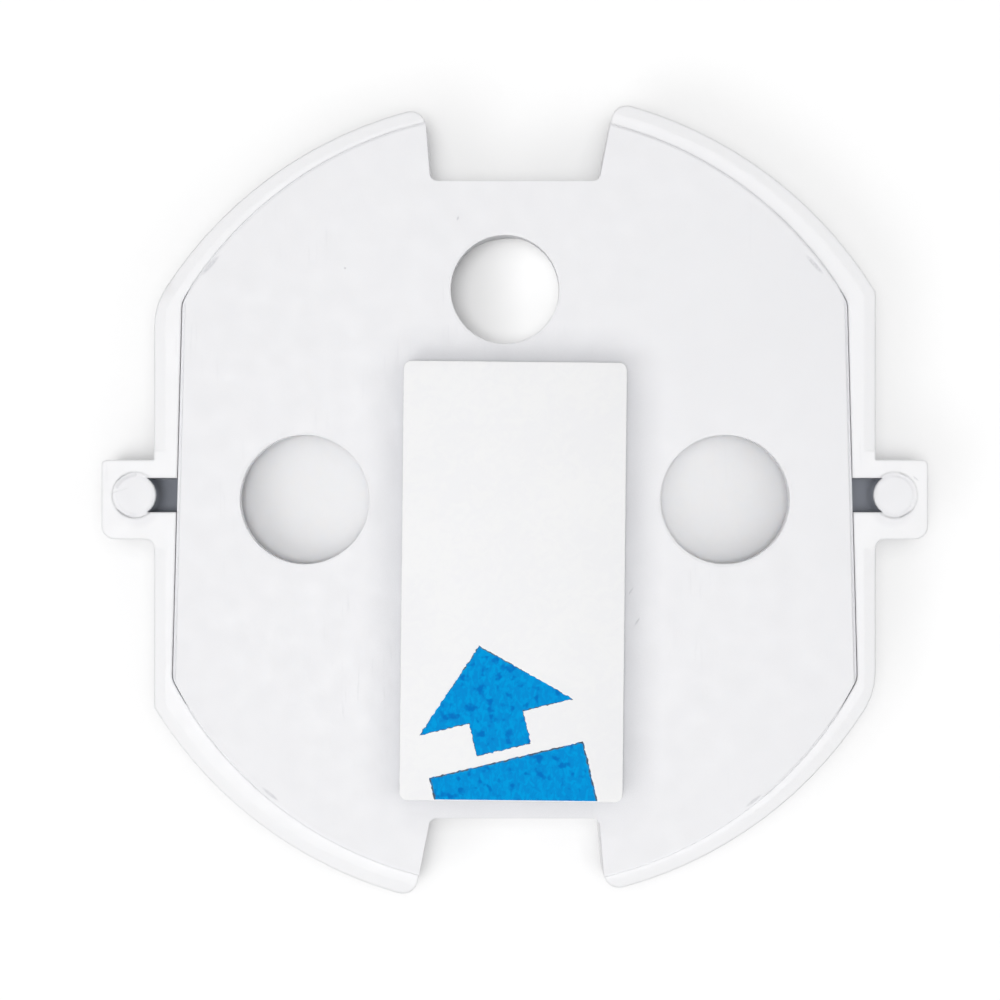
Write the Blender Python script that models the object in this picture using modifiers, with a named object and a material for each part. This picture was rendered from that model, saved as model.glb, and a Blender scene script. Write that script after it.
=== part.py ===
# Twist-to-open safety cover for a two-pin socket with an earth pin.
# It lies on its front face: the front is at z = 0 and the adhesive back looks up, along +Z.
# The origin is the middle of the front face. Sizes are in metres.

import math

import bmesh
import bpy
from mathutils import Matrix

MM = 0.001

# How finely the forms are drawn
ARC_STEP = math.radians(3.0)
FILLET_STEP = math.radians(15.0)
LARGE_TURN_STEPS = 120
HOLE_TURN_STEPS = 56
SMALL_TURN_STEPS = 40
SMOOTH_LIMIT = math.radians(28.0)
MERGE_DISTANCE = 0.0001 * MM
CUT_OVERRUN = 3.0 * MM
MEETING_ROUNDS = 8

# What the socket gives
PIN_SPACING = 19.0 * MM
EARTH_SHIFT = -0.45 * MM

# Clearances
RUNNING_GAP = 0.25 * MM
SEAT_GAP = 0.25 * MM
PLATE_EDGE_GAP = 0.20 * MM
PLATE_ARC_GAP = 0.08 * MM
PLATE_FIT = 0.03 * MM
GLUE_GAP = 0.05 * MM

# Dial
DIAL_HOLE_RADIUS = 2.65 * MM
DIAL_RIM = 0.55 * MM
DIAL_SLOT_CLEARANCE = 0.20 * MM
DIAL_EDGE = 0.30 * MM
CROWN_RADIUS = 5.60 * MM
CROWN_DROP = 1.10 * MM
CROWN_POWER = 1.6
CROWN_STEPS = 7
LEAD_IN = 0.45 * MM
LEAD_IN_WALL_SHARE = 0.5
TURN_ANGLE = math.radians(45.0)
LUG_ANGLE = math.radians(6.0)
LUG_CLEARANCE = math.radians(1.0)
LUG_REACH = 0.75 * MM
LUG_SET_IN = 0.10 * MM

# Housing, from the dial outwards
LIP_WIDTH = 0.75 * MM
NOTCH_RING_WALL = 0.70 * MM
NOTCH_DEPTH = 4.75 * MM
FLAT_SIDE_WALL = 2.63 * MM
ARC_STEP_BACK = 0.35 * MM
ARC_CENTRE_DROP = 0.60 * MM
SHOULDER_RADIUS = 3.2 * MM
EDGE_CHAMFER = 0.55 * MM
EDGE_CHAMFER_DROP = 0.30 * MM
FRONT_EDGE_ROUND = 0.70 * MM
FRONT_EDGE_STEPS = 3
EDGE_OVERSIZE = 0.03 * MM
EDGE_DEPTH_OVERRUN = 0.20 * MM
EDGE_TRIM_OVERRUN = math.radians(6.0)

# Notches for the earth clips
NOTCH_NEAR = 3.82 * MM
NOTCH_STEEP_FLARE = math.radians(4.5)
NOTCH_SLANT_FLARE = math.radians(11.0)
NOTCH_TIP_RADIUS = 0.70 * MM
NOTCH_BASE_RADIUS = 0.35 * MM

# Guide ears
EAR_LENGTH = 2.37 * MM
EAR_HALF_WIDTH = 1.80 * MM
EAR_TOP_RADIUS = 0.25 * MM
EAR_LOW_RADIUS = 0.60 * MM
EAR_ROOT_RADIUS = 0.40 * MM
PEG_FROM_END = 1.51 * MM
PEG_Y = 0.20 * MM
PEG_RADIUS = 0.84 * MM
PEG_GAP = 0.20 * MM
PEG_RECESS = 0.06 * MM
PEG_DEPTH = 0.16 * MM
KEYHOLE_WIDTH = 1.55 * MM
KEYHOLE_FLOOR_RISE = 0.15 * MM

# Walls and levels
FRONT_WALL = 1.20 * MM
ROTOR_WEB = 1.10 * MM
FLANGE_THICKNESS = 2.15 * MM
PLATE_THICKNESS = 1.10 * MM
RIM_BELOW_PLATE = 0.25 * MM
FRONT_RECESS = 0.20 * MM
RING_WALL = 0.80 * MM
LEDGE_WIDTH = 0.75 * MM
RIB_THICKNESS = 0.90 * MM
NOTCH_WALL = 0.90 * MM
POCKET_WIDTH_LEAST = 0.50 * MM
WINDOW_OVERRUN = 0.20 * MM

# Back plate
RIM_BAND = 1.70 * MM
FLAT_RIM = 1.22 * MM
PLATE_TAPER = math.radians(1.48)
PLATE_CORNER_RADIUS = 0.90 * MM
PIN_HOLE_RADIUS = 2.92 * MM
EARTH_HOLE_RADIUS = 2.45 * MM
HOLE_CHAMFER = 0.12 * MM
EDGE_GROOVE_DEPTH = 0.11 * MM
POST_RADIUS = 2.50 * MM
POST_SLIT_WIDTH = 0.80 * MM
POST_SLIT_OVERCUT = 0.20 * MM

# Return spring
SPRING_WIRE = 0.40 * MM
SPRING_RADIUS = 3.40 * MM
SPRING_TURNS = 3
SPRING_PITCH = 0.50 * MM
SPRING_POCKET_GAP = 0.70 * MM
SPRING_LEG = 1.90 * MM
SPRING_INNER_LEG = 2.10 * MM
SPRING_SLIT_WIDTH = 0.90 * MM
SPRING_SLIT_DEPTH = 0.70 * MM
SPRING_STEPS = 24
SPRING_LEVEL_TURN = 0.25

# Adhesive pad and its liner
PAD_WIDTH = 10.0 * MM
PAD_HEIGHT = 19.7 * MM
PAD_THICKNESS = 1.00 * MM
PAD_X = -0.08 * MM
PAD_Y = -3.67 * MM
PAD_TURN = math.radians(-0.6)
PAD_CORNER_RADIUS = 0.22 * MM
LINER_THICKNESS = 0.10 * MM

# Levels that follow from the walls
FLANGE_FRONT = FRONT_WALL + RUNNING_GAP
DIAL_BACK = FLANGE_FRONT + FLANGE_THICKNESS
LEDGE_LEVEL = DIAL_BACK + RUNNING_GAP - SEAT_GAP
PLATE_BACK = DIAL_BACK + RUNNING_GAP + PLATE_THICKNESS
PLATE_FRONT = PLATE_BACK - PLATE_THICKNESS
RIM_LEVEL = PLATE_BACK - RIM_BELOW_PLATE
POCKET_FLOOR = FRONT_RECESS + ROTOR_WEB
GROOVE_LEVEL = RIM_LEVEL - EDGE_GROOVE_DEPTH
ABOVE = PLATE_BACK + CUT_OVERRUN
BELOW = -CUT_OVERRUN

# Radii and half-widths that follow from the pin spacing outwards
PIN_RADIUS_FROM_AXIS = PIN_SPACING / 2
EARTH_OFFSET = PIN_RADIUS_FROM_AXIS
BOSS_RADIUS = PIN_RADIUS_FROM_AXIS + DIAL_HOLE_RADIUS + DIAL_RIM
OPENING_RADIUS = BOSS_RADIUS + RUNNING_GAP
CHAMBER_RADIUS = OPENING_RADIUS + LIP_WIDTH
FLANGE_RADIUS = CHAMBER_RADIUS - RUNNING_GAP
RING_RADIUS = CHAMBER_RADIUS + RING_WALL
NOTCH_BASE = CHAMBER_RADIUS + NOTCH_RING_WALL
LARGE_ARC_RADIUS = NOTCH_BASE + NOTCH_DEPTH
SMALL_ARC_RADIUS = LARGE_ARC_RADIUS - ARC_STEP_BACK
FLAT_HALF_WIDTH = CHAMBER_RADIUS + FLAT_SIDE_WALL
EAR_REACH = FLAT_HALF_WIDTH + EAR_LENGTH
PEG_X = EAR_REACH - PEG_FROM_END
PLATE_RADIUS = LARGE_ARC_RADIUS - RIM_BAND
PLATE_HALF_WIDTH = FLAT_HALF_WIDTH - FLAT_RIM
SHELL_WALL = FLAT_RIM - PLATE_EDGE_GAP
SPRING_POCKET_RADIUS = SPRING_RADIUS + SPRING_WIRE / 2 + SPRING_POCKET_GAP
SLOT_FLOOR = FRONT_WALL + KEYHOLE_FLOOR_RISE


planned_cuts = []


def clear_scene():
    for old in list(bpy.data.objects):
        bpy.data.objects.remove(old, do_unlink=True)


def new_collection(name):
    collection = bpy.data.collections.new(name)
    bpy.context.scene.collection.children.link(collection)
    return collection


def plastic(name, color, roughness, metallic=0.0):
    material = bpy.data.materials.new(name)
    material.use_nodes = True
    shader = material.node_tree.nodes["Principled BSDF"]
    shader.inputs["Base Color"].default_value = (*color, 1.0)
    shader.inputs["Roughness"].default_value = roughness
    shader.inputs["Metallic"].default_value = metallic
    material.diffuse_color = (*color, 1.0)
    return material


def polar(radius, angle, centre=(0.0, 0.0)):
    return (centre[0] + radius * math.cos(angle), centre[1] + radius * math.sin(angle))


def arc(radius, start, end, centre=(0.0, 0.0), step=ARC_STEP):
    """Points along an arc, both ends included."""
    count = max(2, math.ceil(abs(end - start) / step))
    return [polar(radius, start + (end - start) * i / count, centre) for i in range(count + 1)]


def rounded(corners):
    """Outline of (x, y, radius) corners, each corner with a radius turned into an arc."""
    outline = []
    for i, (x, y, radius) in enumerate(corners):
        if radius <= 0.0:
            outline.append((x, y))
            continue
        before = corners[i - 1]
        after = corners[(i + 1) % len(corners)]
        turn_in = math.atan2(y - before[1], x - before[0])
        turn_out = math.atan2(after[1] - y, after[0] - x)
        turn = (turn_out - turn_in + math.pi) % (2 * math.pi) - math.pi
        tangent = radius * math.tan(abs(turn) / 2)
        side = math.copysign(math.pi / 2, turn)
        touch = (x - tangent * math.cos(turn_in), y - tangent * math.sin(turn_in))
        centre = polar(radius, turn_in + side, touch)
        start = turn_in - side
        outline += arc(radius, start, start + turn, centre, FILLET_STEP)
    return outline


def plain(points):
    return [(x, y, 0.0) for x, y in points]


def flipped(corners):
    """The same corners turned half a turn about the middle."""
    return [(-x, -y, radius) for x, y, radius in corners]


def notch_tip(flare, arc_radius):
    """Where a flared notch side, leaving the notch base, meets the outer arc."""
    x = NOTCH_NEAR
    y = NOTCH_BASE
    for _ in range(MEETING_ROUNDS):
        y = math.sqrt(arc_radius**2 - x**2) - ARC_CENTRE_DROP
        x = NOTCH_NEAR + (y - NOTCH_BASE) * math.tan(flare)
    return (x, y)


def flat_corner(arc_radius):
    return (FLAT_HALF_WIDTH, math.sqrt(arc_radius**2 - FLAT_HALF_WIDTH**2) - ARC_CENTRE_DROP)


def outer_arc(arc_radius):
    """Points of the outer arc on the +X, +Y side, from the flat up to the notch, ends left out."""
    flare = NOTCH_SLANT_FLARE if arc_radius == LARGE_ARC_RADIUS else NOTCH_STEEP_FLARE
    centre = (0.0, -ARC_CENTRE_DROP)
    low = flat_corner(arc_radius)
    high = notch_tip(flare, arc_radius)
    start = math.atan2(low[1] - centre[1], low[0])
    end = math.atan2(high[1] - centre[1], high[0])
    return arc(arc_radius, start, end, centre)[1:-1]


def upper_outline():
    """Corners from the right flat, over the top notch, to the left flat."""
    large = outer_arc(LARGE_ARC_RADIUS)
    small = [(-x, y) for x, y in reversed(outer_arc(SMALL_ARC_RADIUS))]
    right_tip = notch_tip(NOTCH_SLANT_FLARE, LARGE_ARC_RADIUS)
    left_tip = notch_tip(NOTCH_STEEP_FLARE, SMALL_ARC_RADIUS)
    shoulder = flat_corner(SMALL_ARC_RADIUS)
    return (
        [(*flat_corner(LARGE_ARC_RADIUS), 0.0)]
        + plain(large)
        + [(*right_tip, NOTCH_TIP_RADIUS)]
        + [(NOTCH_NEAR, NOTCH_BASE, NOTCH_BASE_RADIUS)]
        + [(-NOTCH_NEAR, NOTCH_BASE, NOTCH_BASE_RADIUS)]
        + [(-left_tip[0], left_tip[1], NOTCH_TIP_RADIUS)]
        + plain(small)
        + [(-shoulder[0], shoulder[1], SHOULDER_RADIUS)]
    )


def housing_outline():
    right_ear = [
        (FLAT_HALF_WIDTH, -EAR_HALF_WIDTH, EAR_ROOT_RADIUS),
        (EAR_REACH, -EAR_HALF_WIDTH, EAR_LOW_RADIUS),
        (EAR_REACH, EAR_HALF_WIDTH, EAR_TOP_RADIUS),
        (FLAT_HALF_WIDTH, EAR_HALF_WIDTH, 0.0),
    ]
    left_ear = [(-x, y, radius) for x, y, radius in reversed(right_ear)]
    upper = upper_outline()
    return rounded(right_ear + upper + left_ear + flipped(upper))


def plate_side(y, side_gap):
    return PLATE_HALF_WIDTH + side_gap - y * math.tan(PLATE_TAPER)


def plate_corner(sign, side_gap, radius):
    """Where the plate's side meets its circle, above (sign 1) or below (sign -1)."""
    y = 0.0
    for _ in range(MEETING_ROUNDS):
        y = sign * math.sqrt(radius**2 - plate_side(y, side_gap) ** 2)
    return (plate_side(y, side_gap), y)


def plate_half(sign, side_gap, arc_gap):
    """Corners of the plate's upper or lower arc without its notch, from right to left."""
    radius = PLATE_RADIUS + arc_gap
    corner = plate_corner(sign, side_gap, radius)
    start = math.atan2(corner[1], corner[0])
    points = arc(radius, start, sign * math.pi / 2)[1:]
    right = [(*corner, PLATE_CORNER_RADIUS)] + plain(points)
    left = [(-x, y, r) for x, y, r in reversed(right[:-1])]
    return right + left


def plate_outline(side_gap=0.0, arc_gap=0.0):
    upper = plate_half(1, side_gap, arc_gap)
    lower = plate_half(-1, side_gap, arc_gap)
    return rounded(upper + list(reversed(lower)))


def notch_outline(sign):
    """A notch as a cutter: the sides run on past the rim."""
    past = LARGE_ARC_RADIUS + CUT_OVERRUN
    rise = past - NOTCH_BASE
    slant = NOTCH_NEAR + rise * math.tan(NOTCH_SLANT_FLARE)
    steep = NOTCH_NEAR + rise * math.tan(NOTCH_STEEP_FLARE)
    corners = [
        (slant, past, 0.0),
        (-steep, past, 0.0),
        (-NOTCH_NEAR, NOTCH_BASE, NOTCH_BASE_RADIUS),
        (NOTCH_NEAR, NOTCH_BASE, NOTCH_BASE_RADIUS),
    ]
    return rounded(corners if sign > 0 else flipped(corners))


def prism(name, outline, low, high, collection):
    """A flat outline with straight sides, between two levels.

    The curve is drawn in millimetres, because the fill of a curve drops points that lie
    closer than about 0.03 units, and its mesh is then brought to metres.
    """
    curve = bpy.data.curves.new(name, "CURVE")
    curve.dimensions = "2D"
    curve.fill_mode = "BOTH"
    curve.extrude = (high - low) / 2 / MM
    spline = curve.splines.new("POLY")
    spline.points.add(len(outline) - 1)
    for point, (x, y) in zip(spline.points, outline):
        point.co = (x / MM, y / MM, 0.0, 1.0)
    spline.use_cyclic_u = True
    guide = bpy.data.objects.new(name + "_outline", curve)
    collection.objects.link(guide)
    graph = bpy.context.evaluated_depsgraph_get()
    mesh = bpy.data.meshes.new_from_object(guide.evaluated_get(graph))
    mesh.name = name
    form = bmesh.new()
    form.from_mesh(mesh)
    bmesh.ops.scale(form, vec=(MM, MM, MM), verts=form.verts)
    bmesh.ops.translate(form, vec=(0.0, 0.0, (high + low) / 2), verts=form.verts)
    bmesh.ops.remove_doubles(form, verts=form.verts, dist=MERGE_DISTANCE)
    bmesh.ops.recalc_face_normals(form, faces=form.faces)
    form.to_mesh(mesh)
    form.free()
    body = bpy.data.objects.new(name, mesh)
    body.matrix_world = guide.matrix_world.copy()
    collection.objects.link(body)
    bpy.data.objects.remove(guide, do_unlink=True)
    return body


def turned(name, profile, collection, steps):
    """A profile of (radius, z) points, from the top down, turned about Z."""
    mesh = bpy.data.meshes.new(name)
    edges = [(i, i + 1) for i in range(len(profile) - 1)]
    mesh.from_pydata([(radius, 0.0, z) for radius, z in profile], edges, [])
    body = bpy.data.objects.new(name, mesh)
    collection.objects.link(body)
    screw = body.modifiers.new("turn", "SCREW")
    screw.steps = steps
    screw.render_steps = steps
    screw.use_merge_vertices = True
    screw.merge_threshold = MERGE_DISTANCE
    screw.use_smooth_shade = False
    return body


def round_cutter(name, radius, low, high, collection):
    profile = [(0.0, high), (radius, high), (radius, low), (0.0, low)]
    return turned(name, profile, collection, LARGE_TURN_STEPS)


def block(name, size, place, collection):
    """A box of this size about this middle."""
    mesh = bpy.data.meshes.new(name)
    form = bmesh.new()
    bmesh.ops.create_cube(form, size=1.0)
    bmesh.ops.scale(form, vec=size, verts=form.verts)
    bmesh.ops.translate(form, vec=place, verts=form.verts)
    form.to_mesh(mesh)
    form.free()
    body = bpy.data.objects.new(name, mesh)
    collection.objects.link(body)
    return body


def helper(body):
    body.hide_render = True
    body.display_type = "WIRE"
    return body


def combine(body, tool, operation="DIFFERENCE"):
    """Notes a cut, a union or an intersection, which is added once every outline is a mesh."""
    planned_cuts.append((body, helper(tool), operation))


def add_planned_cuts():
    """The housing's cuts run through each other, where the exact solver leaves open edges."""
    for body, tool, operation in planned_cuts:
        modifier = body.modifiers.new(tool.name, "BOOLEAN")
        modifier.operation = operation
        modifier.solver = "MANIFOLD" if body.name == "front_housing" else "EXACT"
        modifier.object = tool


def smooth(body, material):
    body.data.shade_smooth()
    body.data.set_sharp_from_angle(angle=SMOOTH_LIMIT)
    body.data.materials.clear()
    body.data.materials.append(material)


def pocket_reach(angle, arc_radius):
    """How far a hollow beside the guide ring may reach before the outer wall's ledge."""
    wall = SHELL_WALL + PLATE_EDGE_GAP + LEDGE_WIDTH
    to_flat = (FLAT_HALF_WIDTH - wall) / math.cos(angle)
    drop = ARC_CENTRE_DROP * math.sin(angle)
    to_arc = math.sqrt(arc_radius**2 - ARC_CENTRE_DROP**2 + drop**2) - drop - wall
    return min(to_flat, to_arc)


def pocket_outline(start, end, arc_radius, turn_x, turn_y):
    """A hollow between the guide ring and the outer wall, in the quadrant that the signs give."""
    count = max(3, math.ceil((end - start) / ARC_STEP))
    angles = [start + (end - start) * i / count for i in range(count + 1)]
    inner = [polar(RING_RADIUS, angle) for angle in angles]
    outer = [polar(pocket_reach(angle, arc_radius), angle) for angle in reversed(angles)]
    return [(turn_x * x, turn_y * y) for x, y in inner + outer]


def pocket_span(arc_radius):
    """The angles at which a pocket starts beside the flat and ends beside the notch."""
    start = 0.0
    while pocket_reach(start, arc_radius) < RING_RADIUS + POCKET_WIDTH_LEAST:
        start += ARC_STEP / 6
    reach = NOTCH_NEAR + (RING_RADIUS - NOTCH_BASE) * math.tan(NOTCH_SLANT_FLARE)
    flare = (PLATE_RADIUS - RING_RADIUS) * math.tan(NOTCH_SLANT_FLARE)
    end = math.acos((reach + flare + NOTCH_WALL) / RING_RADIUS)
    return (start, end)


def lug_start():
    """The angle at which a stop lug starts, so that its travel lies in the middle of its pocket."""
    start, end = pocket_span(LARGE_ARC_RADIUS)
    return (start + end - TURN_ANGLE - LUG_ANGLE) / 2


def edge_profile(reach):
    """What an edge trim takes off, as (reach, z) points: a chamfer at the back, a round at the front."""
    edge = reach + EDGE_OVERSIZE
    outside = edge + 2 * MM
    run = EDGE_CHAMFER * MM / EDGE_CHAMFER_DROP
    round_points = []
    for step in range(FRONT_EDGE_STEPS + 1):
        angle = math.pi / 2 * step / FRONT_EDGE_STEPS
        inset = FRONT_EDGE_ROUND * (1 - math.cos(angle))
        round_points.append((edge - inset, FRONT_EDGE_ROUND * (1 - math.sin(angle))))
    return (
        [(outside, RIM_LEVEL + MM), (edge - EDGE_CHAMFER - run, RIM_LEVEL + MM)]
        + [(edge, RIM_LEVEL - EDGE_CHAMFER_DROP)]
        + round_points
        + [(edge - FRONT_EDGE_ROUND - MM, -EDGE_DEPTH_OVERRUN), (outside, -EDGE_DEPTH_OVERRUN)]
    )


def arc_edge_cutter(name, arc_radius, flare, cutters):
    """Trims the edge along the outer arc on the +X, +Y side."""
    low = flat_corner(arc_radius)
    high = notch_tip(flare, arc_radius)
    start = math.atan2(low[1] + ARC_CENTRE_DROP, low[0]) - EDGE_TRIM_OVERRUN
    end = math.atan2(high[1] + ARC_CENTRE_DROP, high[0]) + EDGE_TRIM_OVERRUN
    mesh = bpy.data.meshes.new(name)
    form = bmesh.new()
    corners = [form.verts.new((reach, 0.0, z)) for reach, z in edge_profile(arc_radius)]
    form.faces.new(corners)
    bmesh.ops.rotate(form, verts=form.verts, matrix=Matrix.Rotation(start, 3, "Z"))
    bmesh.ops.spin(
        form,
        geom=form.verts[:] + form.edges[:] + form.faces[:],
        axis=(0.0, 0.0, 1.0),
        angle=end - start,
        steps=math.ceil((end - start) / ARC_STEP),
    )
    bmesh.ops.translate(form, vec=(0.0, -ARC_CENTRE_DROP, 0.0), verts=form.verts)
    bmesh.ops.recalc_face_normals(form, faces=form.faces)
    form.to_mesh(mesh)
    form.free()
    cutter = bpy.data.objects.new(name, mesh)
    cutters.objects.link(cutter)
    return cutter


def flat_edge_cutter(name, cutters):
    """Trims the edge along the right flat, above its ear."""
    start = EAR_HALF_WIDTH + EAR_ROOT_RADIUS
    end = start + FLAT_HALF_WIDTH
    cutter = prism(name, edge_profile(FLAT_HALF_WIDTH), start, end, cutters)
    cutter.data.transform(Matrix.Rotation(math.pi / 2, 4, "X"))
    cutter.data.transform(Matrix.Scale(-1.0, 4, (0.0, 1.0, 0.0)))
    cutter.data.flip_normals()
    return cutter


def mirrored_cutter(cutter, name, mirror_x, mirror_y, cutters):
    """A copy of a cutter in another quadrant."""
    mesh = cutter.data.copy()
    mesh.transform(Matrix.Diagonal((mirror_x, mirror_y, 1.0, 1.0)))
    if mirror_x * mirror_y < 0:
        mesh.flip_normals()
    copy = bpy.data.objects.new(name, mesh)
    cutters.objects.link(copy)
    return copy


def trim_edges(housing, cutters):
    large = arc_edge_cutter("large_arc_edge", LARGE_ARC_RADIUS, NOTCH_SLANT_FLARE, cutters)
    small = arc_edge_cutter("small_arc_edge", SMALL_ARC_RADIUS, NOTCH_STEEP_FLARE, cutters)
    flat = flat_edge_cutter("flat_edge", cutters)
    quadrants = ((1, 1), (-1, 1), (-1, -1), (1, -1))
    for number, (mirror_x, mirror_y) in enumerate(quadrants):
        along_arc = large if mirror_x * mirror_y > 0 else small
        for name, source in (("arc_edge", along_arc), ("flat_edge", flat)):
            name = f"{name}_{number}"
            combine(housing, mirrored_cutter(source, name, mirror_x, mirror_y, cutters))
    for source in (large, small, flat):
        bpy.data.objects.remove(source, do_unlink=True)


def make_housing(parts, cutters):
    housing = prism("front_housing", housing_outline(), 0.0, RIM_LEVEL, parts)
    trim_edges(housing, cutters)
    recess_outline = plate_outline(PLATE_EDGE_GAP, PLATE_ARC_GAP)
    recess = prism("plate_recess", recess_outline, LEDGE_LEVEL, ABOVE, cutters)
    combine(housing, recess)
    chamber = round_cutter("dial_chamber", CHAMBER_RADIUS, FRONT_WALL, ABOVE, cutters)
    combine(housing, chamber)
    opening = round_cutter("front_opening", OPENING_RADIUS, BELOW, FRONT_WALL + MM, cutters)
    combine(housing, opening)
    add_pockets(housing, cutters)
    add_keyholes(housing, cutters)
    return housing


def add_pockets(housing, cutters):
    large_start, end = pocket_span(LARGE_ARC_RADIUS)
    small_start = pocket_span(SMALL_ARC_RADIUS)[0]
    rib_half = RIB_THICKNESS / 2 / RING_RADIUS
    middle = (small_start + end) / 2
    window_start = lug_start() - LUG_CLEARANCE
    window_end = lug_start() + LUG_ANGLE + TURN_ANGLE + LUG_CLEARANCE
    window = arc(CHAMBER_RADIUS - MM, window_start, window_end)
    window += arc(RING_RADIUS + WINDOW_OVERRUN, window_end, window_start)
    for turn in (-1, 1):
        outline = pocket_outline(large_start, end, LARGE_ARC_RADIUS, turn, turn)
        combine(housing, prism(f"travel_pocket_{turn}", outline, FRONT_WALL, ABOVE, cutters))
        turned_window = [(turn * x, turn * y) for x, y in window]
        combine(housing, prism(f"travel_window_{turn}", turned_window, FRONT_WALL, ABOVE, cutters))
        spans = ((small_start, middle - rib_half), (middle + rib_half, end))
        for number, (start, stop) in enumerate(spans):
            outline = pocket_outline(start, stop, SMALL_ARC_RADIUS, -turn, turn)
            name = f"hollow_{turn}_{number}"
            combine(housing, prism(name, outline, FRONT_WALL, ABOVE, cutters))


def add_keyholes(housing, cutters):
    """A hole round a moulded peg in each ear, and a slot from it into the dial chamber."""
    hole_radius = PEG_RADIUS + PEG_GAP
    peg_top = RIM_LEVEL - PEG_RECESS
    hole_profile = [
        (0.0, ABOVE),
        (hole_radius, ABOVE),
        (hole_radius, peg_top - PEG_DEPTH),
        (PEG_RADIUS, peg_top - PEG_DEPTH),
        (PEG_RADIUS, peg_top),
        (0.0, peg_top),
    ]
    half = KEYHOLE_WIDTH / 2
    round_end = PEG_RADIUS + PEG_GAP / 2
    spread = math.asin(half / round_end)
    inner_x = CHAMBER_RADIUS - MM
    for side in (-1, 1):
        hole = turned(f"keyhole_{side}", hole_profile, cutters, SMALL_TURN_STEPS)
        hole.location = (side * PEG_X, PEG_Y, 0.0)
        combine(housing, hole)
        end = arc(round_end, math.pi - spread, math.pi + spread, (PEG_X, PEG_Y), FILLET_STEP)
        outline = [(inner_x, PEG_Y - half), (inner_x, PEG_Y + half)] + end
        outline = [(side * x, y) for x, y in outline]
        combine(housing, prism(f"keyhole_slot_{side}", outline, SLOT_FLOOR, ABOVE, cutters))


def slot_outline(radius, half_width, start, end):
    """A slot that follows a circle about the middle, with round ends."""
    outer = arc(radius + half_width, start, end)
    far = arc(half_width, end, end + math.pi, polar(radius, end), FILLET_STEP)[1:-1]
    inner = arc(radius - half_width, end, start)
    near = arc(half_width, start + math.pi, start + 2 * math.pi, polar(radius, start), FILLET_STEP)[1:-1]
    return outer + far + inner + near


def lead_in_depth(slot_end, slot_half_width):
    """The lead-in of a dial hole, no deeper than its share of the wall beside the earth slot."""
    hole = polar(PIN_RADIUS_FROM_AXIS, math.pi - TURN_ANGLE)
    between = math.dist(hole, slot_end) - DIAL_HOLE_RADIUS - slot_half_width
    return min(LEAD_IN, LEAD_IN_WALL_SHARE * max(between, DIAL_RIM / 2))


def crown_profile():
    """The back of the dial: flat in the middle, then falling away to the edge of the flange."""
    points = []
    for step in range(CROWN_STEPS + 1):
        share = step / CROWN_STEPS
        radius = CROWN_RADIUS + share * (FLANGE_RADIUS - CROWN_RADIUS)
        points.append((radius, DIAL_BACK - CROWN_DROP * share ** CROWN_POWER))
    return points


def make_dial(parts, cutters):
    profile = [
        (0.0, POCKET_FLOOR),
        (SPRING_POCKET_RADIUS, POCKET_FLOOR),
        (SPRING_POCKET_RADIUS, DIAL_BACK),
        *crown_profile(),
        (FLANGE_RADIUS, FLANGE_FRONT),
        (BOSS_RADIUS, FLANGE_FRONT),
        (BOSS_RADIUS, FRONT_RECESS + DIAL_EDGE),
        (BOSS_RADIUS - DIAL_EDGE, FRONT_RECESS),
        (0.0, FRONT_RECESS),
    ]
    dial = turned("twist_dial", profile, parts, LARGE_TURN_STEPS)

    first = lug_start()
    last = first + LUG_ANGLE
    lug = arc(FLANGE_RADIUS - MM, first, last) + arc(FLANGE_RADIUS + LUG_REACH, last, first)
    for turn in (-1, 1):
        outline = [(turn * x, turn * y) for x, y in lug]
        low, high = FLANGE_FRONT + LUG_SET_IN, DIAL_BACK - CROWN_DROP - LUG_SET_IN
        combine(dial, prism(f"stop_lug_{turn}", outline, low, high, cutters), "UNION")

    earth_angle = math.atan2(EARTH_OFFSET, EARTH_SHIFT)
    earth_radius = math.hypot(EARTH_OFFSET, EARTH_SHIFT)
    half_width = EARTH_HOLE_RADIUS + DIAL_SLOT_CLEARANCE
    lead_in = lead_in_depth(polar(earth_radius, earth_angle), half_width)
    mouth = DIAL_HOLE_RADIUS + lead_in
    hole_profile = [
        (0.0, ABOVE),
        (DIAL_HOLE_RADIUS, ABOVE),
        (DIAL_HOLE_RADIUS, FRONT_RECESS + lead_in),
        (mouth, FRONT_RECESS),
        (mouth, BELOW),
        (0.0, BELOW),
    ]
    for number in (0, 1):
        place = polar(PIN_RADIUS_FROM_AXIS, number * math.pi - TURN_ANGLE)
        hole = turned(f"dial_hole_{number}", hole_profile, cutters, SMALL_TURN_STEPS)
        hole.location = (*place, 0.0)
        combine(dial, hole)

    outline = slot_outline(earth_radius, half_width, earth_angle - TURN_ANGLE, earth_angle)
    combine(dial, prism("earth_slot", outline, BELOW, ABOVE, cutters))

    leg_end = SPRING_RADIUS + SPRING_LEG + RUNNING_GAP
    slit_floor = DIAL_BACK - SPRING_SLIT_DEPTH
    slit_size = (leg_end, SPRING_SLIT_WIDTH, ABOVE - slit_floor)
    slit_place = (-leg_end / 2, 0.0, (ABOVE + slit_floor) / 2)
    combine(dial, block("spring_slit", slit_size, slit_place, cutters))
    return dial


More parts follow.
